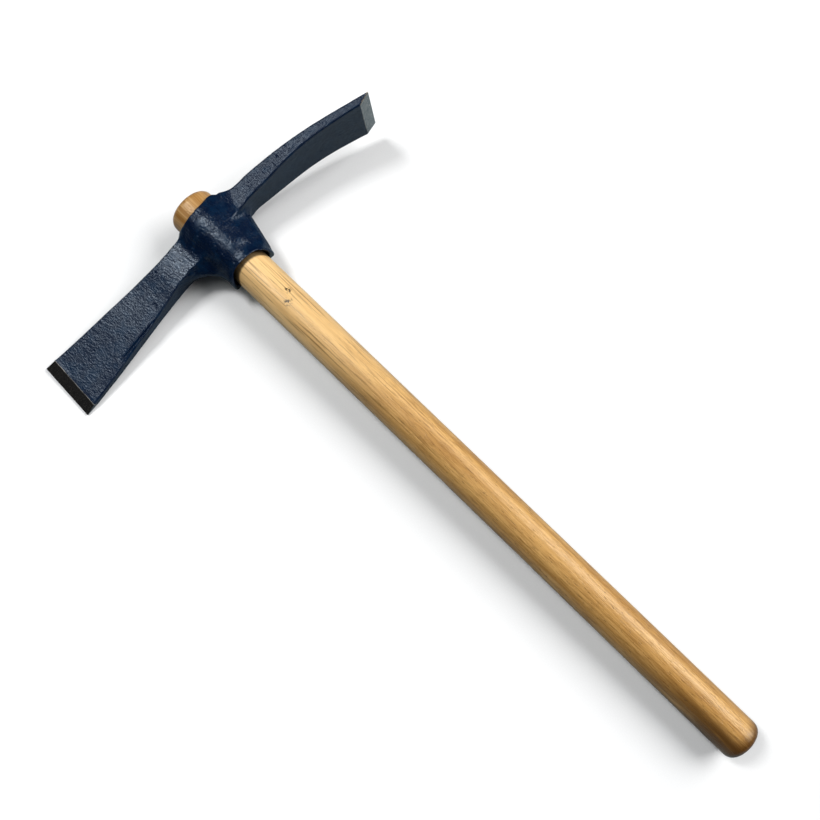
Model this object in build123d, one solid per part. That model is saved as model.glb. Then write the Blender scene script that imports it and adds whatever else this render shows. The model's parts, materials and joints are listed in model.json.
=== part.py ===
from build123d import *
from math import asin, atan, atan2, cos, degrees, hypot, sin
import os

# A two-bladed hand mattock: a one-piece forged head on a slip-fit wooden handle.
#
# The pieces are made in tool axes, in millimetres: X runs along the handle from the
# eye to the butt, Y along the blades with the adze on the plus side and the axe on
# the minus side, and Z square to both. The tool is mirror-symmetric about Z = 0.
# lay_down() then rests it on its side, on the plane Z = 0.

# Handle: a round shaft that swells into the eye and stops in a rounded stub.
SHAFT_R = 15.0
HANDLE_TOP = -37.75
HANDLE_BUTT = 511.2
SWELL_R = 18.5
SWELL_MIDDLE = (0.0, 17.2)
SWELL_START = 28.0
STUB_ROUNDING = 5.0
BUTT_ROUNDING = 6.0

# Eye: a tapered socket, drawn in above its flared lip. Each station of the outer wall
# is a place along the handle, then the radius there. The lip is cut on a slant.
EYE_TOP = -23.5
EYE_LIP = 34.3
EYE_WALL = [(EYE_TOP, 20.4), (0.0, 20.8), (25.5, 18.2), (38.3, 22.5)]
LIP_SLANT = 3.5
LIP_ROUNDING = 2.0
BORE_TOP_R = 18.5
BORE_LIP_R = 16.4
BORE_LIP_CHAMFER = 0.8

# Axe blade: its edge runs along the handle. Each station is a distance from the
# handle's axis, then the blade's top side, butt side and thickness there.
AXE_REACH = 162.3
AXE_SKEW = 2.3
AXE_BEVEL = 9.4
AXE_HEEL_THICKNESS = 5.2
AXE_STATIONS = [
    (10.0, -19.5, 2.4, 20.0),
    (46.0, -19.8, 1.4, 17.8),
    (64.0, -21.9, 4.8, 12.4),
    (100.0, -24.0, 11.3, 9.0),
    (153.0, -27.6, 18.6, 5.2),
    (167.0, -29.2, 20.4, 4.6),
]

# Adze blade: its edge runs across the handle, and it curves towards the handle.
# Each station is a distance from the axis, then the outer face, inner face and width.
ADZE_REACH = 149.7
ADZE_EDGE_X = 9.5
ADZE_BEVEL = 11.0
ADZE_HEEL_INNER = 11.9
ADZE_STATIONS = [
    (10.0, -18.6, -3.2, 30.5),
    (45.0, -18.0, -3.6, 31.0),
    (95.0, -8.2, 0.9, 40.6),
    (ADZE_REACH, 9.0, 16.0, 50.0),
]
EDGE_LAND = 0.5

# Web: the gusset that runs from the adze's root down the eye to its lip.
WEB_OUTLINE = [(-14.0, 10.0), (-14.0, 36.0), (-3.0, 38.0), (6.0, 27.4), (33.0, 20.6), (33.0, 10.0)]
WEB_THICKNESS = 18.0
WEB_ROUNDING = 4.0

ARM_EDGE_ROUNDING = 1.0
AXE_ROOT_ROUNDING = 6.0
ADZE_ROOT_ROUNDING = 3.0


def handle():
    """The round handle, swollen where it wedges in the eye."""
    top, butt = HANDLE_TOP, HANDLE_BUTT
    stub_shoulder = (top + STUB_ROUNDING, SWELL_R)
    outline = [
        Line((top, 0), (top, SWELL_R - STUB_ROUNDING)),
        RadiusArc((top, SWELL_R - STUB_ROUNDING), stub_shoulder, STUB_ROUNDING),
        Spline(stub_shoulder, SWELL_MIDDLE, (SWELL_START, SHAFT_R), tangents=[(1, -0.02), (1, 0)]),
        Line((SWELL_START, SHAFT_R), (butt - BUTT_ROUNDING, SHAFT_R)),
        RadiusArc((butt - BUTT_ROUNDING, SHAFT_R), (butt, SHAFT_R - BUTT_ROUNDING), BUTT_ROUNDING),
        Line((butt, SHAFT_R - BUTT_ROUNDING), (butt, 0)),
        Line((butt, 0), (top, 0)),
    ]
    return revolve(make_face(outline), Axis.X)


def eye_blank():
    """The eye's outer shape, solid, with its slanted and rounded lip."""
    far_end = EYE_WALL[-1][0]
    outline = [
        Line((EYE_TOP, 0), EYE_WALL[0]), Spline(*EYE_WALL), Line(EYE_WALL[-1], (far_end, 0)),
        Line((far_end, 0), (EYE_TOP, 0)),
    ]
    beyond_lip = Pos(EYE_LIP, 0, 0) * Rot(0, 0, LIP_SLANT) * Pos(25, 0, 0) * Box(50, 90, 90)
    blank = revolve(make_face(outline), Axis.X) - beyond_lip
    lip_edge = blank.faces().sort_by(Axis.X)[-1].edges()
    return fillet(lip_edge, LIP_ROUNDING)


def bore():
    """The tapered hole, as a solid to cut, chamfered at the lip."""
    above, beyond = EYE_TOP - 1, EYE_LIP + 6
    flare = EYE_LIP - BORE_LIP_CHAMFER
    outline = [
        (above, 0), (above, BORE_TOP_R), (EYE_TOP, BORE_TOP_R), (flare, BORE_LIP_R),
        (beyond, BORE_LIP_R + beyond - flare), (beyond, 0),
    ]
    return revolve(make_face(Polyline(*outline, close=True)), Axis.X)


def between(side_a, side_b):
    """A face between two smooth sides, closed by straight ends."""
    return make_face([
        Spline(*side_a), Line(side_a[-1], side_b[-1]), Spline(*side_b), Line(side_b[0], side_a[0]),
    ])


def rounded_blade(plan, thickness):
    """Two crossed outlines, with the long edges of the shape they share rounded."""
    blade = extrude(plan, 60, both=True) & extrude(thickness, 60, both=True)
    long_edges = [edge for edge in blade.edges() if edge.length > 60]
    return fillet(long_edges, ARM_EDGE_ROUNDING)


def axe():
    """The axe blade, ground on both cheeks."""
    plan = between(
        [(top, -y) for y, top, butt, t in AXE_STATIONS],
        [(butt, -y) for y, top, butt, t in AXE_STATIONS],
    )
    cheeks = between(
        [(-y, t / 2) for y, top, butt, t in AXE_STATIONS],
        [(-y, -t / 2) for y, top, butt, t in AXE_STATIONS],
    )
    blade = rounded_blade(plan, Plane.YZ * cheeks)
    heel_z = AXE_HEEL_THICKNESS / 2
    slope = degrees(atan((heel_z - EDGE_LAND / 2) / AXE_BEVEL))
    bevel = Pos(0, AXE_BEVEL - AXE_REACH, heel_z) * Rot(slope, 0, 0) * Pos(0, -25, 5) * Box(100, 50, 10)
    beyond = Pos(0, -AXE_REACH - 10, 0) * Box(100, 20, 30)
    for cutter in (bevel, mirror(bevel, Plane.XY), beyond):
        blade = blade - Rot(0, 0, AXE_SKEW) * cutter
    return blade


def adze():
    """The adze blade, ground on the face towards the handle."""
    side = between(
        [(outer, y) for y, outer, inner, w in ADZE_STATIONS],
        [(inner, y) for y, outer, inner, w in ADZE_STATIONS],
    )
    faces = between(
        [(y, w / 2) for y, outer, inner, w in ADZE_STATIONS],
        [(y, -w / 2) for y, outer, inner, w in ADZE_STATIONS],
    )
    blade = rounded_blade(side, Plane.YZ * faces)
    slope = degrees(atan((ADZE_HEEL_INNER - ADZE_EDGE_X) / ADZE_BEVEL))
    heel = Pos(ADZE_HEEL_INNER, ADZE_REACH - ADZE_BEVEL, 0)
    return blade - heel * Rot(0, 0, slope) * Pos(10, 25, 0) * Box(20, 50, 60)


def web():
    """The gusset between the adze's root and the eye's lip."""
    outline = make_face(Polyline(*WEB_OUTLINE, close=True))
    gusset = extrude(outline, WEB_THICKNESS / 2, both=True)
    ridge = [edge for edge in gusset.edges() if edge.center().Y > 20 and abs(edge.center().Z) > 1]
    return fillet(ridge, WEB_ROUNDING)


def joined(body, arm, rounding):
    """An arm forged onto a body, with the corner between them rounded."""
    whole = body + arm
    return fillet(new_edges(body, arm, combined=whole), rounding)


def head():
    """The forged head: eye, axe, adze and web in one piece of steel."""
    blank = joined(eye_blank(), axe(), AXE_ROOT_ROUNDING)
    blank = joined(blank, adze(), ADZE_ROOT_ROUNDING)
    return blank + web() - bore()


def resting_turn():
    """The turn that rests the tool on its butt, its eye and its axe.

    The pitch brings the shaft and the wider eye down to one plane. The roll then
    lowers the axe until the corner where its bevel starts meets that plane.
    """
    wall = Spline(*EYE_WALL)
    crest = max((wall @ (step / 100) for step in range(50)), key=lambda point: point.Y)
    pitch = atan((crest.Y - SHAFT_R) / (HANDLE_BUTT - BUTT_ROUNDING - crest.X))
    axis_height = crest.Y * cos(pitch) + crest.X * sin(pitch)
    corner_x, corner_y, corner_z = AXE_STATIONS[-2][2], AXE_REACH - AXE_BEVEL, AXE_HEEL_THICKNESS / 2
    drop = (axis_height - corner_x * sin(pitch)) / cos(pitch)
    roll = asin(drop / hypot(corner_y, corner_z)) - atan2(corner_z, corner_y)
    return Rot(0, degrees(pitch), 0) * Rot(degrees(roll), 0, 0)


def main():
    """Make the pieces, lay them down with the origin under their middle, and save them."""
    turn = resting_turn()
    pieces = {"mattock_head": turn * head(), "handle": turn * handle()}
    box = Compound(list(pieces.values())).bounding_box()
    placing = Pos(-box.center().X, -box.center().Y, -box.min.Z)
    os.makedirs("parts", exist_ok=True)
    for name, piece in pieces.items():
        export_step(placing * piece, f"parts/{name}.step")
    grip = (placing * turn * Pos((HANDLE_BUTT - BUTT_ROUNDING + SWELL_START) / 2, 0, 0)).position
    along = (turn * Pos(1, 0, 0)).position
    print("middle of the shaft", grip, "direction to the butt", along)


main()
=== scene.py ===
import json
import math
from itertools import product

import bpy
import numpy as np
from mathutils import Matrix, Vector

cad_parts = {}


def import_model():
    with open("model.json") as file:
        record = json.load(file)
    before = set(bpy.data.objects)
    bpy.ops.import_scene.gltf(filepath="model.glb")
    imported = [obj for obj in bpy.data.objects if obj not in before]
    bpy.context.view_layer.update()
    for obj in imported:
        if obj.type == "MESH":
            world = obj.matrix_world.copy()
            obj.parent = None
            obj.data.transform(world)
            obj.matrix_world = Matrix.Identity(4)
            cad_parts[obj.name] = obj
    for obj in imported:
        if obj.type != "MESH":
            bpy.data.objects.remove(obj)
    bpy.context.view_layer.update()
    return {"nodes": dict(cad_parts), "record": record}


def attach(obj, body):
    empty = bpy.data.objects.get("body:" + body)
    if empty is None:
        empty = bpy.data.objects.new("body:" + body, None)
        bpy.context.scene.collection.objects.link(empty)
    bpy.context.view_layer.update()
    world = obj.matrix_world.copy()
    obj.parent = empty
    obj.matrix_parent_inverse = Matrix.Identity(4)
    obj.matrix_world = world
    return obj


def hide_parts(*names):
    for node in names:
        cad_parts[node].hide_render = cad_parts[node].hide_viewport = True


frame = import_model()

MM = 0.001

# ---------------------------------------------------------------- sizes, in tool millimetres
# Tool axes: X runs along the handle from the eye to the butt, Y along the blades with the adze
# on the plus side and the axe on the minus side, and Z is square to both.

SHAFT_R = 15.0
HANDLE_TOP = -37.75
HANDLE_BUTT = 511.2
STUB_ROUNDING = 5.0
BUTT_ROUNDING = 6.0
# The swell that jams in the eye: place along the handle, then the handle's radius there.
SWELL = [(HANDLE_TOP + STUB_ROUNDING, 18.45), (-12.0, 17.9), (0.0, 17.15), (16.0, 15.55), (28.0, 15.0)]

# The eye's outside: place along the handle, then the radius there.
EYE_TOP = -23.5
EYE_WALL = [
    (EYE_TOP, 20.4), (-13.0, 21.9), (0.0, 20.8), (14.0, 19.3), (25.5, 18.2), (31.5, 19.9), (38.0, 20.1),
]
EYE_TOP_EDGE = 1.6
LIP_EDGE = 1.8
LIP_SIDE = 33.9
LIP_SLANT = 0.03
# The lip dips back by this much, between these heights above and below the handle's axis.
LIP_SETBACK = 4.6
LIP_DIP = (2.0, 17.0)
BORE_TOP_R = 18.55
BORE_LIP_R = 16.7
BORE_EDGE = 0.6
MOUTH_FLARE = 1.8
MOUTH_DEPTH = 2.6

# Axe: distance from the handle's axis, then the top side, the butt side and the thickness.
AXE_REACH = 162.3
AXE_SKEW = 0.04
AXE_BEVEL = 9.4
AXE_STATIONS = [
    (10.0, -22.0, 2.6, 20.5), (30.0, -21.2, 1.8, 19.6), (46.0, -20.8, 2.8, 17.2),
    (64.0, -22.1, 5.6, 12.4), (100.0, -24.0, 11.3, 9.0), (130.0, -25.9, 16.0, 6.6),
    (153.0, -27.6, 18.6, 5.2), (167.0, -29.2, 20.4, 5.0),
]
AXE_ROOT_FILLET = 6.5
AXE_CORNER = 1.2
AXE_CORNER_AT_ROOT = 5.2

# Adze: distance from the handle's axis, then the outer face, the inner face and the width.
ADZE_REACH = 149.65
ADZE_BEVEL = 11.0
ADZE_STATIONS = [
    (8.0, -23.4, -3.0, 25.6), (18.0, -22.6, -3.0, 25.6), (27.0, -19.9, -2.8, 25.6),
    (36.0, -18.7, -3.6, 26.2), (45.0, -18.1, -3.2, 28.0), (58.0, -16.2, -2.4, 31.2),
    (70.0, -13.8, -1.8, 35.2), (95.0, -8.2, 0.9, 40.6), (120.0, -1.0, 6.7, 45.1),
    (138.7, 5.3, 12.1, 48.5), (152.0, 9.9, 17.0, 50.0),
]
ADZE_ROOT_FILLET = 4.5
ADZE_TOP_FILLET = 9.0
ADZE_CORNER = 1.4
EDGE_LAND = 0.5

# The web under the adze's root and the gusset under the axe's: place along the handle, then reach.
WEB_LINE = [
    (-19.0, 31.0), (-3.0, 29.4), (5.0, 27.7), (11.0, 26.1), (20.0, 23.9), (30.0, 21.3), (34.0, 19.6),
]
WEB_END = 31.0
# Its flanks lean more towards the lip, between these places along the handle.
WEB_LEAN_TOP = math.radians(35)
WEB_LEAN_LIP = math.radians(43)
WEB_LEAN_SPAN = (-14.0, 26.0)
WEB_DRAFT = 0.45
WEB_INSET = 0.15
WEB_EDGE = 0.9
WEB_BLEND = 1.0
GUSSET_LINE = [(2.0, 47.0), (5.5, 36.0), (10.5, 27.8), (17.0, 22.0), (27.0, 18.0)]
GUSSET_ROUND = 0.24
GUSSET_SPAN = (-12.0, 28.0)
GUSSET_BLEND = 3.0

# Both arms start inside the eye's wall, this far from the handle's axis.
ARM_START = 8.0

# A forging lap: a groove in the axe's cheek beside its butt side, as points along and across the handle.
LAP_PATH = [(7.2, -78.0), (8.2, -88.0), (8.9, -98.0), (9.7, -108.0), (10.8, -118.5)]
LAP_WIDTH = 0.6
LAP_DEPTH = 1.2

# The forging's skin: how high each set of lumps stands, how wide they are, and their seed.
SKIN_LUMPS = [(0.14, 7.5, 2), (0.09, 3.4, 3), (0.045, 1.7, 4)]
PIT_DEPTH = 0.3
# The skin fades in over these distances from the bevels and from the bore.
SKIN_FROM_BEVEL = 3.0
SKIN_FROM_BORE = (0.4, 1.6)
# How strongly the edges' convexity lightens the paint, as rubbed wear and painted edge highlight.
WEAR_AND_SHEEN_GAIN = 4

# The grid on which the head's surface is found reaches a little past the steel.
GRID = [(-32.0, 39.0), (-166.0, 153.0), (-27.3, 27.3)]
GRID_STEP = 0.5


# ---------------------------------------------------------------- small mathematics

def curve(stations, column, at):
    """A smooth curve through one column of a table of stations, read at the given distances."""
    places = np.array([row[0] for row in stations])
    values = np.array([row[column] for row in stations])
    slopes = np.gradient(values, places)
    at = np.clip(at, places[0], places[-1])
    low = np.clip(np.searchsorted(places, at, side="right") - 1, 0, len(places) - 2)
    span = places[low + 1] - places[low]
    t = (at - places[low]) / span
    rise = t * t * (3 - 2 * t)
    return (
        values[low] * (1 - rise) + values[low + 1] * rise
        + span * (slopes[low] * t * (1 - t) ** 2 - slopes[low + 1] * t * t * (1 - t))
    )


def blend_min(a, b, reach):
    """The smaller of two fields, with the corner between them filled over a reach."""
    h = np.clip(0.5 + 0.5 * (b - a) / reach, 0, 1)
    return b + (a - b) * h - reach * h * (1 - h)


def blend_max(a, b, reach):
    """The larger of two fields, with the corner between them rounded over a reach."""
    return -blend_min(-a, -b, reach)


def fillet_min(a, b, radius):
    """The smaller of two fields, with a true round fillet in the corner between them."""
    corner = np.hypot(np.maximum(radius - a, 0), np.maximum(radius - b, 0))
    return np.maximum(radius, np.minimum(a, b)) - corner


def ramp(value, start, end):
    """0 before start, 1 after end, and smooth between."""
    t = np.clip((value - start) / (end - start), 0, 1)
    return t * t * (3 - 2 * t)


def lumps(points, size, seed):
    """Seeded smooth noise from -1 to 1 whose lumps are about size across."""
    table = np.random.default_rng(seed).uniform(-1, 1, 4096)
    cell = np.floor(points / size).astype(np.int64)
    t = points / size - cell
    t = t * t * (3 - 2 * t)
    total = np.zeros(len(points))
    for corner in product((0, 1), repeat=3):
        at = cell + corner
        value = table[(at[:, 0] * 7919 + at[:, 1] * 104729 + at[:, 2] * 1299709) % 4096]
        weight = np.prod(np.where(corner, t, 1 - t), axis=1)
        total += weight * value
    return total


# ---------------------------------------------------------------- the tool's axes in the frame

def mesh_points(node):
    """A CAD node's vertices at rest, in the frame."""
    return [vertex.co.copy() for vertex in frame["nodes"][node].data.vertices]


def tool_matrix():
    """Where the tool's axes lie, read from the grip mount and from the two CAD nodes."""
    grip = next(mount for mount in frame["record"]["mounts"] if mount["name"] == "grip")
    along = Vector(grip["axis"]).normalized()
    centre = Vector(grip["pos_m"])
    stub_end = min((point - centre).dot(along) for point in mesh_points("handle"))
    origin = centre + along * (stub_end - HANDLE_TOP * MM)
    head = mesh_points("mattock_head")
    reach = min(point.y for point in head)
    edge = [point for point in head if point.y < reach + 0.0001]
    to_edge = sum(edge, Vector()) / len(edge) - origin
    across = -(to_edge - along * to_edge.dot(along)).normalized()
    up = along.cross(across)
    matrix = Matrix((along, across, up)).transposed().to_4x4()
    matrix.translation = origin
    return matrix


TOOL = tool_matrix()


# ---------------------------------------------------------------- meshes

def surface_net(field, axes):
    """One vertex in each cell that the surface crosses, and one quad on each crossed grid edge."""
    inside = field < 0
    cells = tuple(size - 1 for size in inside.shape)
    filled = np.zeros(cells, np.int8)
    for corner in product((0, 1), repeat=3):
        window = tuple(slice(step, step + size) for step, size in zip(corner, cells))
        filled += inside[window]
    crossed = (filled > 0) & (filled < 8)
    index = np.full(cells, -1, np.int64)
    index[crossed] = np.arange(np.count_nonzero(crossed))
    cell = np.argwhere(crossed)
    total = np.zeros((len(cell), 3))
    hits = np.zeros(len(cell))
    faces = []
    for axis in range(3):
        step = np.eye(3, dtype=int)[axis]
        others = [other for other in range(3) if other != axis]
        for pair in product((0, 1), repeat=2):
            start = np.zeros(3, int)
            start[others] = pair
            low = field[tuple((cell + start).T)]
            high = field[tuple((cell + start + step).T)]
            hit = (low < 0) != (high < 0)
            place = np.where(hit, low / np.where(hit, low - high, 1), 0)
            total[hit] += start
            total[:, axis] += np.where(hit, place, 0)
            hits += hit
        low_side = [slice(1, -1)] * 3
        high_side = [slice(1, -1)] * 3
        low_side[axis] = slice(0, -1)
        high_side[axis] = slice(1, None)
        changes = inside[tuple(low_side)] != inside[tuple(high_side)]
        edge = np.argwhere(changes)
        edge[:, others] += 1
        back = [np.eye(3, dtype=int)[other] for other in others]
        ring = [edge - back[0] - back[1], edge - back[1], edge, edge - back[0]]
        quad = np.stack([index[tuple(corner.T)] for corner in ring], axis=1)
        outward = inside[tuple(edge.T)] != (axis == 1)
        quad[~outward] = quad[~outward][:, ::-1]
        faces.append(quad)
    total /= hits[:, None]
    points = np.stack([
        line[cell[:, n]] + total[:, n] * (line[cell[:, n] + 1] - line[cell[:, n]])
        for n, line in enumerate(axes)
    ], axis=1)
    return points, np.concatenate(faces)


def settle(points, field, rounds=3, step=0.05):
    """Move points onto the surface where the field is zero."""
    for _ in range(rounds):
        value = field(*points.T)
        slope = np.stack([
            (field(*(points + offset).T) - field(*(points - offset).T)) / (2 * step)
            for offset in np.eye(3) * step
        ], axis=1)
        size = np.maximum((slope ** 2).sum(axis=1), 0.05)
        points = points - np.clip(value / size, -0.6, 0.6)[:, None] * slope
    return points


def vertex_normals(points, faces):
    """Unit normals, averaged from the quads around each vertex."""
    corner = points[faces]
    face_normal = np.cross(corner[:, 2] - corner[:, 0], corner[:, 3] - corner[:, 1])
    normals = np.zeros_like(points)
    for n in range(4):
        np.add.at(normals, faces[:, n], face_normal)
    return normals / np.maximum(np.linalg.norm(normals, axis=1), 1e-9)[:, None]


def mesh_object(name, points, faces):
    """A smooth-shaded object from points in tool millimetres, laid in the frame where the tool lies."""
    placed = points * MM @ np.array(TOOL.to_3x3()).T + np.array(TOOL.translation)
    mesh = bpy.data.meshes.new(name)
    mesh.from_pydata(placed.tolist(), [], faces)
    mesh.validate()
    mesh.shade_smooth()
    piece = bpy.data.objects.new(name, mesh)
    bpy.context.scene.collection.objects.link(piece)
    return piece


# ---------------------------------------------------------------- head

def axe_from_edge(x, y):
    """Distance in from the axe's slightly skewed cutting edge."""
    return AXE_REACH + y + AXE_SKEW * x


def axe_corner(far):
    """How much the axe's long edges are rounded: crisp outside, melting away inside the eye's fillet."""
    return AXE_CORNER + (AXE_CORNER_AT_ROOT - AXE_CORNER) * (1 - ramp(far, 17.0, 26.0))


def axe_field(x, y, z):
    """The axe's arm and blade, with flat cheeks."""
    far = -y
    half = curve(AXE_STATIONS, 3, far) / 2
    sides = np.maximum(curve(AXE_STATIONS, 1, far) - x, x - curve(AXE_STATIONS, 2, far))
    blade = blend_max(np.abs(z) - half, sides, axe_corner(far))
    return np.maximum(np.maximum(blade, -axe_from_edge(x, y)), y + ARM_START)


def adze_field(x, y, z):
    """The adze's arm and blade, curved towards the butt and flared across."""
    half = curve(ADZE_STATIONS, 3, y) / 2
    faces = np.maximum(curve(ADZE_STATIONS, 1, y) - x, x - curve(ADZE_STATIONS, 2, y))
    blade = blend_max(np.abs(z) - half, faces, ADZE_CORNER)
    return np.maximum(np.maximum(blade, y - ADZE_REACH), ARM_START - y)


def web_field(x, y, z):
    """The web under the adze: its flanks leave the eye tangentially, its nose drafts off each way."""
    reach = curve(WEB_LINE, 1, x) - WEB_DRAFT * np.sqrt(z * z + 1.5)
    lean = WEB_LEAN_TOP + (WEB_LEAN_LIP - WEB_LEAN_TOP) * ramp(x, *WEB_LEAN_SPAN)
    side = np.sin(lean) * y + np.cos(lean) * np.abs(z) - curve(EYE_WALL, 1, x)
    plate = blend_max(side + WEB_INSET, (y - reach) * 0.9, WEB_EDGE)
    tangent = np.cos(lean) * y - np.sin(lean) * np.abs(z)
    return np.maximum(np.maximum(plate, WEB_LINE[0][0] - x), np.maximum(-tangent, x - WEB_END))


def gusset_field(x, y, z):
    """The rounded gusset under the axe's root."""
    nose = (-y - curve(GUSSET_LINE, 1, x) + GUSSET_ROUND * z * z) * 0.5
    ends = np.maximum(GUSSET_SPAN[0] - x, x - GUSSET_SPAN[1])
    return np.maximum(np.maximum(nose, ends), y + ARM_START)


def lip_end(y, z):
    """Where the eye ends towards the butt: its mouth dips back above and below the handle."""
    return LIP_SIDE + LIP_SLANT * y - LIP_SETBACK * ramp(np.abs(z), *LIP_DIP)


def eye_field(x, y, z):
    """The eye, without its bore."""
    wall = np.hypot(y, z) - curve(EYE_WALL, 1, x)
    tube = blend_max(wall, x - lip_end(y, z), LIP_EDGE)
    return blend_max(tube, EYE_TOP - x, EYE_TOP_EDGE)


def bore_field(x, y, z):
    """The tapered bore, which flares at the mouth."""
    slope = (BORE_LIP_R - BORE_TOP_R) / (LIP_SIDE - EYE_TOP)
    mouth = MOUTH_FLARE * ramp(x, lip_end(y, z) - MOUTH_DEPTH, lip_end(y, z))
    return np.hypot(y, z) - (BORE_TOP_R + slope * (x - EYE_TOP)) - mouth


def head_field(x, y, z):
    """Negative inside the steel. The bevels are left to the grinding that follows."""
    at_top = 1 - ramp(x, -22.0, -12.0)
    adze_fillet = ADZE_ROOT_FILLET + (ADZE_TOP_FILLET - ADZE_ROOT_FILLET) * at_top
    body = fillet_min(eye_field(x, y, z), axe_field(x, y, z), AXE_ROOT_FILLET)
    body = blend_min(body, gusset_field(x, y, z), GUSSET_BLEND)
    body = blend_min(body, web_field(x, y, z), WEB_BLEND)
    body = fillet_min(body, adze_field(x, y, z), adze_fillet)
    return blend_max(body, -bore_field(x, y, z), BORE_EDGE)


def grid_axis(low, high, spacing):
    """Even steps from low to high, as near the spacing as they come."""
    return np.linspace(low, high, int(round((high - low) / spacing)) + 1)


def grind(points):
    """Thin both blades down to their edges, which makes the flat bevels."""
    ground = points.copy()
    x, y, z = points.T
    inward = axe_from_edge(x, y) / AXE_BEVEL
    heel = curve(AXE_STATIONS, 3, -y)
    thin = EDGE_LAND / heel + (1 - EDGE_LAND / heel) * np.clip(inward, 0, 1)
    axe = (y < 0) & (inward < 1)
    ground[axe, 2] = (z * thin)[axe]
    inward = (ADZE_REACH - y) / ADZE_BEVEL
    outer = curve(ADZE_STATIONS, 1, y)
    heel = curve(ADZE_STATIONS, 2, y) - outer
    thin = EDGE_LAND / heel + (1 - EDGE_LAND / heel) * np.clip(inward, 0, 1)
    adze = (y > 0) & (inward < 1)
    ground[adze, 0] = (outer + (x - outer) * thin)[adze]
    return ground


def distance_to_path(x, y, path):
    """Distance in the XY plane from points to a line of short straight steps."""
    nearest = np.full(len(x), 1e9)
    for (ax, ay), (bx, by) in zip(path, path[1:]):
        step_x, step_y = bx - ax, by - ay
        along = ((x - ax) * step_x + (y - ay) * step_y) / (step_x ** 2 + step_y ** 2)
        along = np.clip(along, 0, 1)
        nearest = np.minimum(nearest, np.hypot(x - ax - along * step_x, y - ay - along * step_y))
    return nearest


def convexity(points, faces, normals):
    """How far each vertex stands proud of its neighbours' mean, in millimetres."""
    for _ in range(3):
        total = np.zeros_like(points)
        count = np.zeros(len(points))
        for n in range(4):
            np.add.at(total, faces[:, n], points[faces[:, (n + 1) % 4]] + points[faces[:, n - 1]])
            np.add.at(count, faces[:, n], 2)
        smooth = total / np.maximum(count, 1)[:, None]
        proud = ((points - smooth) * normals).sum(axis=1)
        points = smooth
    return proud


def forging_relief(points, skin):
    """The uneven skin of a hand-finished forging: broad hollows, hammer marks, scale and pits."""
    y = points[:, 1]
    on_arm = np.where(y > 0, ramp(y, 6.0, 18.0), ramp(-y, 22.0, 55.0))
    marks = sum(height * lumps(points, width, seed) for height, width, seed in SKIN_LUMPS)
    drawn = 0.07 * lumps(points * (0.35, 1, 1), 1.9, 7)
    relief = 0.18 * lumps(points, 19.0, 1) + (marks + drawn) * (1 - 0.6 * on_arm) - 0.05 * on_arm
    pits = ramp(lumps(points, 2.1, 5) * 0.6 + lumps(points, 9.0, 6) * 0.5, 0.62, 0.8)
    return (relief - PIT_DEPTH * pits) * skin


def forging_lap(points):
    """The depth of the lap beside the axe's edge, less the small lip along its outer side."""
    x, y, z = points.T
    away = distance_to_path(x, y + 0.5 * lumps(points, 6.0, 8), LAP_PATH)
    near_end, far_end = LAP_PATH[0][1], LAP_PATH[-1][1]
    fade = ramp(y, far_end - 1, far_end + 12) * ramp(-y, -near_end - 2, -near_end + 8)
    groove = np.exp(-(away / LAP_WIDTH) ** 2)
    lip = np.exp(-((away - 1.7 * LAP_WIDTH) / LAP_WIDTH) ** 2)
    return LAP_DEPTH * (groove - 0.45 * lip) * fade * (z > 0)


def forged_head():
    """The head: eye, axe, adze and gussets in one skin, with its edges' convexity as an attribute for
    rubbed paint and a painted edge highlight.
    """
    spacing = GRID_STEP
    axes = tuple(grid_axis(low, high, spacing) for low, high in GRID)
    field = head_field(*np.meshgrid(*axes, indexing="ij", sparse=True))
    points, faces = surface_net(field, axes)
    points = settle(points, head_field)
    normals = vertex_normals(points, faces)
    edge_proudness = convexity(points, faces, normals)
    x, y, z = points.T
    skin = ramp(axe_from_edge(x, y), AXE_BEVEL, AXE_BEVEL + SKIN_FROM_BEVEL)
    skin *= ramp(ADZE_REACH - y, ADZE_BEVEL, ADZE_BEVEL + SKIN_FROM_BEVEL)
    skin *= ramp(bore_field(x, y, z), *SKIN_FROM_BORE)
    points = points + normals * (forging_relief(points, skin) - forging_lap(points))[:, None]
    # The axe's butt side wanders near its root, where the hammer left it uneven.
    ragged = skin * ramp(-y, 24, 30) * ramp(y, -56, -44) * ramp(points[:, 0], -3, 1) * ramp(z, 4, 7)
    points[:, 0] += ragged * (0.7 * lumps(points, 4.5, 9) + 0.4 * lumps(points, 1.9, 10))
    head = mesh_object("forged_head", grind(points), faces.tolist())
    wear_and_sheen = head.data.attributes.new("wear_and_sheen", "FLOAT", "POINT")
    wear_and_sheen.data.foreach_set("value", np.clip(edge_proudness / spacing * WEAR_AND_SHEEN_GAIN, -1, 1).astype(np.float32))
    return head


# ---------------------------------------------------------------- handle

RING_STEP = 1.2
RING_POINTS = 128
END_FACE_RINGS = [0.3, 2.5, 5.0, 7.5, 10.0, 12.2]


def handle_profile():
    """Places along the handle and the radius at each, from the stub's end to the butt's."""
    arc = np.linspace(0, math.pi / 2, 9)
    stub_r = SWELL[0][1]
    stub_x = HANDLE_TOP + STUB_ROUNDING * (1 - np.cos(arc))
    stub = np.stack([stub_x, stub_r - STUB_ROUNDING * (1 - np.sin(arc))], axis=1)
    shaft_x = np.arange(SWELL[0][0] + RING_STEP, HANDLE_BUTT - BUTT_ROUNDING - RING_STEP / 2, RING_STEP)
    shaft = np.stack([shaft_x, curve(SWELL, 1, shaft_x)], axis=1)
    butt_x = HANDLE_BUTT - BUTT_ROUNDING * (1 - np.sin(arc))
    butt = np.stack([butt_x, SHAFT_R - BUTT_ROUNDING * (1 - np.cos(arc))], axis=1)
    top_face = [(HANDLE_TOP, radius) for radius in END_FACE_RINGS]
    flat_r = SHAFT_R - BUTT_ROUNDING
    butt_face = [(HANDLE_BUTT, radius) for radius in END_FACE_RINGS[::-1] if radius < flat_r]
    return np.concatenate([top_face, stub, shaft, butt, butt_face])


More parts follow.
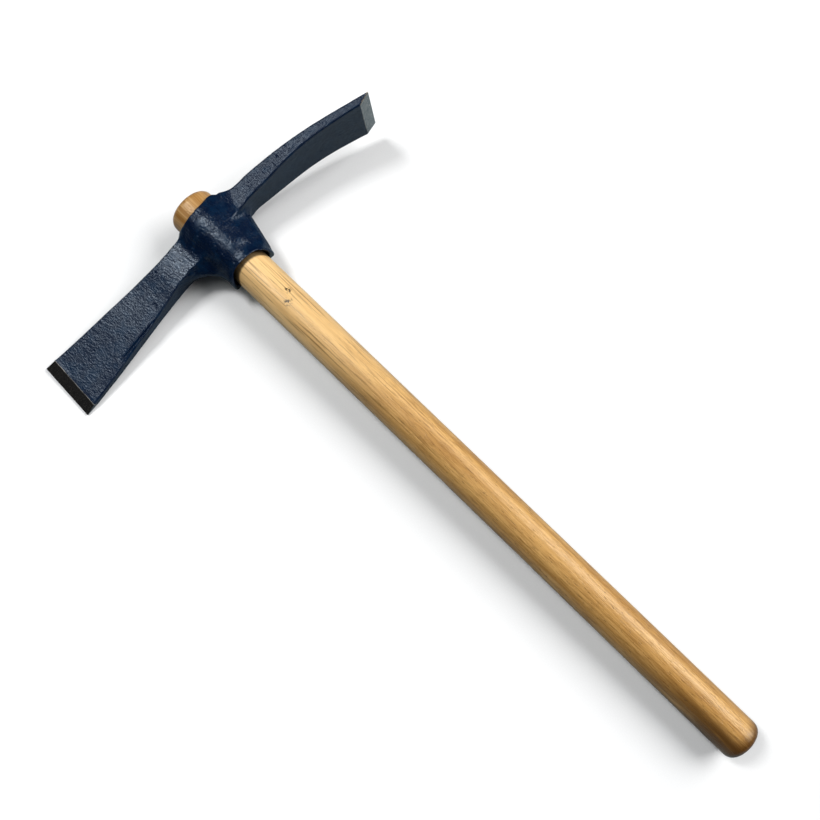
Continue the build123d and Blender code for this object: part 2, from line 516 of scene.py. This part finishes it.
def turned_handle():
    """The handle, turned about its axis from its profile, with the faint ripples a sander leaves."""
    profile = handle_profile()
    rings = len(profile)
    turn = np.linspace(0, 2 * math.pi, RING_POINTS, endpoint=False)
    x = np.repeat(profile[:, 0], RING_POINTS)
    radius = np.repeat(profile[:, 1], RING_POINTS)
    turns = np.tile(turn, rings)
    points = np.stack([x, radius * np.cos(turns), radius * np.sin(turns)], axis=1)
    stretched = points * (0.15, 1, 1)
    ripples = 0.05 * lumps(stretched, 6.0, 11) + 0.02 * lumps(stretched, 1.5, 12)
    points[:, 1:] *= (1 + ripples / np.maximum(radius, 1))[:, None]
    ring, step = np.meshgrid(np.arange(rings - 1), np.arange(RING_POINTS), indexing="ij")
    here = ring * RING_POINTS
    there = here + RING_POINTS
    after = (step + 1) % RING_POINTS
    quads = np.stack([here + step, there + step, there + after, here + after], axis=-1).reshape(-1, 4)
    last = rings * RING_POINTS - 1
    caps = [list(range(RING_POINTS)), list(range(last, last - RING_POINTS, -1))]
    return mesh_object("beech_handle", points, quads.tolist() + caps)


# ---------------------------------------------------------------- materials

class Surface:
    """A node material with short names for its nodes. Places are in metres on the tool's axes."""

    def __init__(self, name, axes=TOOL):
        self.material = bpy.data.materials.new(name)
        self.material.use_nodes = True
        self.tree = self.material.node_tree
        self.shader = self.tree.nodes["Principled BSDF"]
        inward = axes.inverted()
        self.place = self.add("ShaderNodeMapping", {
            "Vector": self.add("ShaderNodeTexCoord", {}, "Object"),
            "Location": inward.translation, "Rotation": inward.to_euler(),
        })
        self.x, self.y, self.z = self.split(self.place)

    def add(self, kind, inputs, output=0, **settings):
        """One of a new node's outputs. An input is another node's output, or a plain value."""
        made = self.tree.nodes.new(kind)
        for name, value in settings.items():
            setattr(made, name, value)
        for socket, value in inputs.items():
            self.put(made.inputs[socket], value)
        return made.outputs[output]

    def put(self, socket, value):
        if isinstance(value, bpy.types.NodeSocket):
            self.tree.links.new(value, socket)
        else:
            socket.default_value = value

    def split(self, vector):
        return self.add("ShaderNodeSeparateXYZ", {0: vector}).node.outputs

    def stretch(self, scale, turn=(0, 0, 0)):
        return self.add("ShaderNodeMapping", {"Vector": self.place, "Rotation": turn, "Scale": scale})

    def noise(self, at, scale, detail=2.0, roughness=0.5, distortion=0.0):
        return self.add("ShaderNodeTexNoise", {
            "Vector": at, "Scale": scale, "Detail": detail, "Roughness": roughness,
            "Distortion": distortion,
        })

    def cells(self, at, scale):
        return self.add(
            "ShaderNodeTexVoronoi", {"Vector": at, "Scale": scale}, "Distance", feature="SMOOTH_F1",
        )

    def math(self, operation, a, b=0.0):
        return self.add("ShaderNodeMath", {0: a, 1: b}, operation=operation)

    def times(self, a, b):
        return self.math("MULTIPLY", a, b)

    def between(self, value, start, end, low=0.0, high=1.0):
        """Value's way from start to end, eased, as a number from low to high."""
        return self.add("ShaderNodeMapRange", {
            "Value": value, "From Min": start, "From Max": end, "To Min": low, "To Max": high,
        }, interpolation_type="SMOOTHSTEP")

    def spread(self, value, low, high):
        """A number from low to high as value goes from 0 to 1."""
        return self.add("ShaderNodeMapRange", {"Value": value, "To Min": low, "To Max": high})

    def mix(self, share, first, second):
        """A colour between two colours."""
        return self.add("ShaderNodeMix", {0: share, 6: first, 7: second}, 2, data_type="RGBA")

    def blend(self, share, first, second):
        """A number between two numbers."""
        return self.add("ShaderNodeMix", {0: share, 2: first, 3: second}, 0, data_type="FLOAT")

    def blend_normals(self, share, first, second):
        """A normal between two normals."""
        return self.add("ShaderNodeMix", {0: share, 4: first, 5: second}, 1, data_type="VECTOR")

    def distance(self, place):
        """Distance from a place on the tool, in metres."""
        return self.add(
            "ShaderNodeVectorMath", {0: self.place, 1: place}, "Value", operation="DISTANCE",
        )

    def bump(self, height, strength, distance, normal=None):
        inputs = {"Height": height, "Strength": strength, "Distance": distance}
        if normal is not None:
            inputs["Normal"] = normal
        return self.add("ShaderNodeBump", inputs)

    def finish(self, **inputs):
        """Set the shader's own sockets, and give the material back."""
        for name, value in inputs.items():
            self.put(self.shader.inputs[name.replace("_", " ")], value)
        return self.material


# The adze's ground face in its own plane: x plus this slope times y is the same all over it.
ADZE_GROUND_SLOPE = 0.236
ADZE_GROUND_X = (9.5 + ADZE_GROUND_SLOPE * ADZE_REACH) * MM

NAVY = (0.0007, 0.0048, 0.0185, 1)
NAVY_THIN = (0.0013, 0.0095, 0.0280, 1)
# Greyer paint: scuffs on the skin's high spots, and on the edges also a painted highlight.
SCUFFED_AND_SHEEN = (0.045, 0.060, 0.082, 1)
STEEL = (0.52, 0.43, 0.34, 1)
STEEL_DARK = (0.19, 0.155, 0.122, 1)
# Nearly black steel for the axe's bevel, a painted dark reflection.
STEEL_PAINTED_DARK = (0.085, 0.088, 0.092, 1)
EDGE_BRIGHT = (0.46, 0.44, 0.40, 1)
COOL = (0.76, 0.88, 1.0, 1)

# The paint's mean shine, for an export that can't carry the varying one.
PAINT_SHINE = 0.33


def paint_wear_and_sheen(s, skin):
    """The paint's colour: thin in places, scuffed on its high spots, and lighter along the convex edges,
    partly rubbed wear and partly a painted edge highlight.
    """
    tone = s.noise(s.place, 140, 3)
    paint = s.mix(s.between(tone, 0.42, 0.68), NAVY, NAVY_THIN)
    paint = s.mix(s.between(skin, 0.62, 0.80, 0, 0.35), paint, SCUFFED_AND_SHEEN)
    wear_and_sheen = s.add("ShaderNodeAttribute", {}, "Fac", attribute_name="wear_and_sheen")
    patchy = s.between(s.noise(s.place, 210, 4, 0.6), 0.42, 0.62)
    # Convex edges are lightened: partly rubbed paint, partly a painted edge highlight.
    rubbed_and_sheen = s.times(s.between(wear_and_sheen, 0.12, 0.55), patchy)
    return s.mix(s.times(rubbed_and_sheen, 0.55), paint, SCUFFED_AND_SHEEN)


def edge_distances(s):
    """Distances in from the axe's and the adze's edges, wavering as a hand-ground bevel does."""
    waver = s.times(s.math("SUBTRACT", s.noise(s.place, 90, 3), 0.5), 0.0016)
    skewed = s.math("ADD", s.y, s.times(s.x, AXE_SKEW))
    from_axe_edge = s.math("ADD", s.math("ADD", skewed, AXE_REACH * MM), waver)
    from_adze_edge = s.math("ADD", s.math("SUBTRACT", ADZE_REACH * MM, s.y), waver)
    return from_axe_edge, from_adze_edge


def bare_bevels(s, from_axe_edge, from_adze_edge):
    """Masks of the two ground bevels. The adze is ground on its inner face only."""
    soft = 0.15
    axe = s.between(from_axe_edge, (AXE_BEVEL + soft) * MM, (AXE_BEVEL - soft) * MM)
    adze = s.between(from_adze_edge, (ADZE_BEVEL + soft) * MM, (ADZE_BEVEL - soft) * MM)
    ground_plane = s.math("ADD", s.x, s.times(s.y, ADZE_GROUND_SLOPE))
    inner = s.between(ground_plane, ADZE_GROUND_X - 0.55 * MM, ADZE_GROUND_X - 0.3 * MM)
    return axe, s.times(adze, inner)


def ground_steel(s, stones, blotch, axe_bare):
    """The bevels' colour: streaked by the stones, blotched, and darkened to nearly black on the axe as a
    painted dark reflection.
    """
    steel = s.mix(s.between(stones, 0.32, 0.68), STEEL_DARK, STEEL)
    steel = s.mix(s.between(blotch, 0.50, 0.72, 0, 0.6), steel, STEEL_DARK)
    return s.mix(s.times(axe_bare, 0.8), steel, STEEL_PAINTED_DARK)


def bevel_line(s, from_axe_edge, blotch):
    """The bright, broken line where the axe's bevel starts."""
    outside = s.between(from_axe_edge, (AXE_BEVEL + 0.5) * MM, (AXE_BEVEL + 0.1) * MM)
    inside = s.between(from_axe_edge, (AXE_BEVEL - 0.4) * MM, (AXE_BEVEL - 0.05) * MM)
    return s.times(s.times(outside, inside), s.between(blotch, 0.36, 0.60))


def paint_shine(s):
    """How much the paint reflects: uneven, and duller where dust lies on the blades' upper faces."""
    uneven = s.between(s.noise(s.place, 480, 4, 0.6), 0.34, 0.66, 0.25, 0.42)
    facing = s.split(s.add("ShaderNodeTexCoord", {}, "Normal"))["Z"]
    on_adze = s.between(s.y, 0.010, 0.028, 0, 0.60)
    on_axe = s.between(s.y, -0.030, -0.075, 0, 0.36)
    dust = s.times(s.math("MAXIMUM", on_adze, on_axe), s.between(facing, 0.70, 0.92))
    return s.times(uneven, s.math("SUBTRACT", 1.0, dust))


def paint_normal(s, skin):
    """The paint's bumps: orange peel and drawn-out hammer marks, with the scale's grain over them."""
    peel = s.cells(s.place, 780)
    drawn = s.noise(s.stretch((260, 900, 900), (0, 0, 0.35)), 1.0, 4, 0.6)
    marks = s.math("ADD", s.times(peel, 0.7), s.times(drawn, 0.9))
    return s.bump(skin, 0.5, 0.00034, s.bump(marks, 0.7, 0.00030))


def head_material():
    """Navy paint over forging scale, lighter on its edges as rubbed wear and painted highlight, with
    both bevels ground to bare steel and the axe's darkened as a painted dark reflection.
    """
    s = Surface("navy_paint_and_ground_steel")
    skin = s.noise(s.place, 620, 5, 0.62, 0.4)
    stones = s.noise(s.stretch((2300, 110, 2300)), 1.0, 3, 0.7)
    blotch = s.noise(s.place, 170, 4, 0.6)
    from_axe_edge, from_adze_edge = edge_distances(s)
    axe_bare, adze_bare = bare_bevels(s, from_axe_edge, from_adze_edge)
    bare = s.math("MAXIMUM", axe_bare, adze_bare)

    colour = s.mix(bare, paint_wear_and_sheen(s, skin), ground_steel(s, stones, blotch, axe_bare))
    colour = s.mix(s.times(bevel_line(s, from_axe_edge, blotch), 0.6), colour, EDGE_BRIGHT)
    rough = s.blend(bare, s.spread(skin, 0.13, 0.33), s.spread(stones, 0.16, 0.34))
    normal = s.blend_normals(bare, paint_normal(s, skin), s.bump(stones, 0.25, 0.00008))
    s.shader.inputs["Specular IOR Level"].default_value = PAINT_SHINE
    return s.finish(
        Base_Color=colour, Metallic=bare, Roughness=rough, Normal=normal,
        Specular_IOR_Level=paint_shine(s), Specular_Tint=COOL,
    )


BEECH_LIGHT = (0.55, 0.318, 0.105, 1)
BEECH_MID = (0.395, 0.202, 0.052, 1)
BEECH_DARK = (0.25, 0.112, 0.024, 1)
# A lighter beech colour for the painted light near the head.
BEECH_PAINTED_LIGHT = (0.745, 0.497, 0.226, 1)
FLECK = (0.085, 0.036, 0.010, 1)
# Dark dirt for the dents, also used for the painted shade at the lip.
GRIME_AND_SHADE = (0.020, 0.012, 0.006, 1)
LACQUER = (1.0, 0.88, 0.68, 1)
# Smoky brown for the stained butt end, and for the painted shade on the handle's minus-Y side near the
# butt.
SMOKE_STAIN_AND_SHADE = (0.090, 0.036, 0.006, 1)


# Small clusters of dents with dirt in them: a place on the handle and how far the cluster reaches.
SPECKS = [
    ((0.0668, 0.0066, 0.0135), 0.0036), ((0.0735, 0.0005, 0.0150), 0.0042),
    ((-0.0275, -0.0018, 0.0182), 0.0042),
]

# The grain runs a little askew to the handle's axis.
GRAIN_SLANT = (0.0, 0.035, 0.075)


def grain(s, along, across, *settings):
    """Noise drawn out along the grain, as scales along and across it."""
    return s.noise(s.stretch((along, across, across), GRAIN_SLANT), 1.0, *settings)


def beech_colour(s, bands, fibre, flecks, lines):
    """The beech's own colour: rings, fibres, pores and ray flecks, with painted light that makes the
    wood lighter towards the head.
    """
    rings = grain(s, 9, 170, 3, 0.55, 0.25)
    long_pores = grain(s, 60, 1300, 3, 0.6)
    broad = s.noise(s.stretch((6, 40, 40)), 1.0, 2)
    colour = s.mix(s.between(rings, 0.34, 0.66), BEECH_LIGHT, BEECH_MID)
    colour = s.mix(s.between(bands, 0.48, 0.70, 0, 0.50), colour, BEECH_DARK)
    colour = s.mix(s.between(fibre, 0.45, 0.66, 0, 0.80), colour, BEECH_DARK)
    colour = s.mix(s.between(broad, 0.42, 0.75, 0, 0.35), colour, BEECH_LIGHT)
    colour = s.mix(s.between(lines, 0.54, 0.66, 0, 0.50), colour, BEECH_DARK)
    colour = s.mix(s.between(long_pores, 0.60, 0.70, 0, 0.62), colour, FLECK)
    colour = s.mix(s.between(flecks, 0.64, 0.73, 0, 0.80), colour, FLECK)

    # Painted light: the wood is lightened towards the head, as if more light fell there.
    painted_light_near_head = s.times(s.between(s.x, 0.230, 0.045), s.between(rings, 0.64, 0.36, 0.55, 0.92))
    colour = s.mix(painted_light_near_head, colour, BEECH_PAINTED_LIGHT)
    drawn = s.times(s.between(lines, 0.55, 0.63), s.between(s.x, 0.25, 0.10, 0, 0.5))
    return s.mix(drawn, colour, FLECK)


def marks_of_use(s, colour, lines):
    """What is on the wood: dirty dents, a smoky stain that also paints shade on the handle's minus-Y
    side near the butt, stained ends, and a dark band at the lip that is part dirt and part painted
    shade.
    """
    dents = s.noise(s.stretch((420, 620, 620)), 1.0, 2, 0.6, 0.6)
    for place, reach in SPECKS:
        close = s.between(s.distance(place), reach, reach * 0.4)
        colour = s.mix(s.times(close, s.between(dents, 0.50, 0.56)), colour, GRIME_AND_SHADE)

    # Darker on the minus-Y side near the butt, broken by the grain: partly a smoky stain, partly painted
    # shade on the side away from the lights.
    stain_and_painted_shade = s.times(s.between(s.x, 0.395, 0.500), s.between(s.y, 0.001, -0.007))
    stain_and_painted_shade = s.times(stain_and_painted_shade, s.between(grain(s, 22, 130, 3), 0.20, 0.55))
    colour = s.mix(s.times(stain_and_painted_shade, 0.93), colour, SMOKE_STAIN_AND_SHADE)

    butt_stain = s.times(s.between(s.x, 0.498, 0.508), s.between(lines, 0.25, 0.60, 0.80, 1.0))
    colour = s.mix(butt_stain, colour, SMOKE_STAIN_AND_SHADE)
    stub_stain = s.times(s.between(s.x, -0.012, -0.026), s.between(lines, 0.30, 0.60, 0.58, 0.95))
    colour = s.mix(stub_stain, colour, BEECH_DARK)

    # A dark band on the wood just past the lip: partly dirt, partly painted shade where the steel meets
    # the wood.
    height = s.math("ABSOLUTE", s.z)
    sunk = s.between(height, LIP_DIP[0] * MM, LIP_DIP[1] * MM, 0, LIP_SETBACK * MM)
    past_lip = s.math("ADD", s.math("SUBTRACT", s.x, LIP_SIDE * MM), sunk)
    lip_grime_and_painted_shade = s.times(s.between(past_lip, 0.0022, 0.0002), s.between(s.x, 0.0, 0.010, 0, 0.85))
    return s.mix(lip_grime_and_painted_shade, colour, GRIME_AND_SHADE)


def wood_material():
    """Lacquered beech, with bumps for its swells, fibres and pores."""
    s = Surface("lacquered_beech")
    bands = grain(s, 16, 520, 4, 0.6, 0.1)
    fibre = grain(s, 95, 1250, 4, 0.65)
    flecks = grain(s, 230, 1500, 2, 0.5)
    lines = grain(s, 22, 760, 3, 0.55, 0.15)
    colour = marks_of_use(s, beech_colour(s, bands, fibre, flecks, lines), lines)

    swells = s.bump(bands, 0.5, 0.0006)
    fibres = s.bump(fibre, 0.45, 0.00026, swells)
    pores = s.bump(s.between(flecks, 0.68, 0.60), 0.35, 0.00018, fibres)
    return s.finish(
        Base_Color=colour, Roughness=s.spread(fibre, 0.24, 0.44), Normal=pores,
        Specular_Tint=LACQUER,
    )


WHITE = (1, 1, 1, 1)
PAPER_DARK = (0.74, 0.74, 0.74, 1)
PAPER = (0.78, 0.78, 0.78, 1)
PAPER_BRIGHT = (0.96, 0.96, 0.96, 1)
BOUNCE = (0.26, 0.315, 0.345, 1)
BOUNCE_FAR = (0.02, 0.02, 0.02, 1)


def floor_material():
    """White paper. What it throws back onto the tool is dimmer and cooler, and dies away outwards."""
    s = Surface("white_floor", Matrix())
    bright = s.mix(s.noise(s.place, 900, 2), PAPER_DARK, PAPER)
    bright = s.mix(s.between(s.y, 0.0, -0.40, 0, 0.8), bright, PAPER_BRIGHT)
    out = s.math("SQRT", s.math("ADD", s.times(s.x, s.x), s.times(s.y, s.y)))
    bounce = s.mix(s.between(out, 0.30, 0.90), BOUNCE, BOUNCE_FAR)
    seen = s.add("ShaderNodeLightPath", {}, "Is Camera Ray")
    glow = s.times(seen, s.between(out, 0.45, 1.8, 0, 0.92))
    return s.finish(
        Base_Color=s.mix(seen, bounce, bright), Roughness=0.85, Specular_IOR_Level=0.1,
        Emission_Color=WHITE, Emission_Strength=glow,
    )


# ---------------------------------------------------------------- floor, light and camera

FLOOR_HALF = 6.0


def floor():
    """One big sheet under the tool."""
    mesh = bpy.data.meshes.new("floor")
    turns = [(-1, -1), (1, -1), (1, 1), (-1, 1)]
    corners = [(x * FLOOR_HALF, y * FLOOR_HALF, 0) for x, y in turns]
    mesh.from_pydata(corners, [], [(0, 1, 2, 3)])
    ground = bpy.data.objects.new("floor", mesh)
    bpy.context.scene.collection.objects.link(ground)
    mesh.materials.append(floor_material())


# The photo's camera, in tool millimetres, as fitted to the photo's outline.
CAMERA_PLACE = (261.7, -10.9, 587.3)
CAMERA_TARGET = (189.95, 5.56, 0.0)
CAMERA_UP = (-0.6887, 0.7175, 0.1042)
LENS = 35.99


def aim(place, target, up):
    """A matrix that puts a camera or lamp at a place in tool millimetres, looking at a target."""
    ahead = (Vector(target) - Vector(place)).normalized()
    side = ahead.cross(Vector(up)).normalized()
    matrix = Matrix((side, side.cross(ahead), -ahead)).transposed().to_4x4()
    matrix.translation = Vector(place) * MM
    return TOOL @ matrix


def camera():
    """The camera at the photo's angle."""
    data = bpy.data.cameras.new("camera")
    data.lens = LENS
    data.sensor_width = 36.0
    data.clip_start = 0.01
    view = bpy.data.objects.new("camera", data)
    bpy.context.scene.collection.objects.link(view)
    view.matrix_world = aim(CAMERA_PLACE, CAMERA_TARGET, CAMERA_UP)
    bpy.context.scene.camera = view


def area_light(name, place, target, size, power, colour=(1, 1, 1)):
    """A soft lamp: place and target in tool millimetres, size in metres, power in watts."""
    data = bpy.data.lights.new(name, "AREA")
    data.shape = "RECTANGLE"
    data.size, data.size_y = size
    data.energy = power
    data.color = colour
    lamp = bpy.data.objects.new(name, data)
    bpy.context.scene.collection.objects.link(lamp)
    lamp.matrix_world = aim(place, target, (0, 0, 1))


ROOM_LIGHT = (0.80, 0.90, 1.0, 1)
ROOM_STRENGTH = 0.04
BACKDROP = (0.93, 0.93, 0.94, 1)


def world():
    """A dim room that the lamps' light falls off into, behind a pale backdrop."""
    room = bpy.data.worlds.new("studio")
    room.use_nodes = True
    tree = room.node_tree
    dim = tree.nodes["Background"]
    dim.inputs["Color"].default_value = ROOM_LIGHT
    dim.inputs["Strength"].default_value = ROOM_STRENGTH
    backdrop = tree.nodes.new("ShaderNodeBackground")
    backdrop.inputs["Color"].default_value = BACKDROP
    seen = tree.nodes.new("ShaderNodeLightPath")
    mixed = tree.nodes.new("ShaderNodeMixShader")
    tree.links.new(seen.outputs["Is Camera Ray"], mixed.inputs["Fac"])
    tree.links.new(dim.outputs[0], mixed.inputs[1])
    tree.links.new(backdrop.outputs[0], mixed.inputs[2])
    tree.links.new(mixed.outputs[0], tree.nodes["World Output"].inputs["Surface"])
    bpy.context.scene.world = room


# ---------------------------------------------------------------- putting it together

camera()
floor()
world()
area_light(
    "ceiling_panel", (-680, -110, 1800), (20, 0, 0), size=(1.25, 1.9), power=11.5,
    colour=(0.95, 0.985, 1.0),
)
area_light("overhead_lamp", (-900, 0, 1700), (60, 0, 0), size=(0.46, 0.54), power=22.5)
area_light("side_window", (870, 1700, 1280), (250, 0, 0), size=(1.6, 1.3), power=64)
bpy.context.scene.view_settings.view_transform = "Standard"

head = forged_head()
head.data.materials.append(head_material())
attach(head, "head")
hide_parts("mattock_head")

handle = turned_handle()
handle.data.materials.append(wood_material())
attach(handle, "handle")
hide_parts("handle")
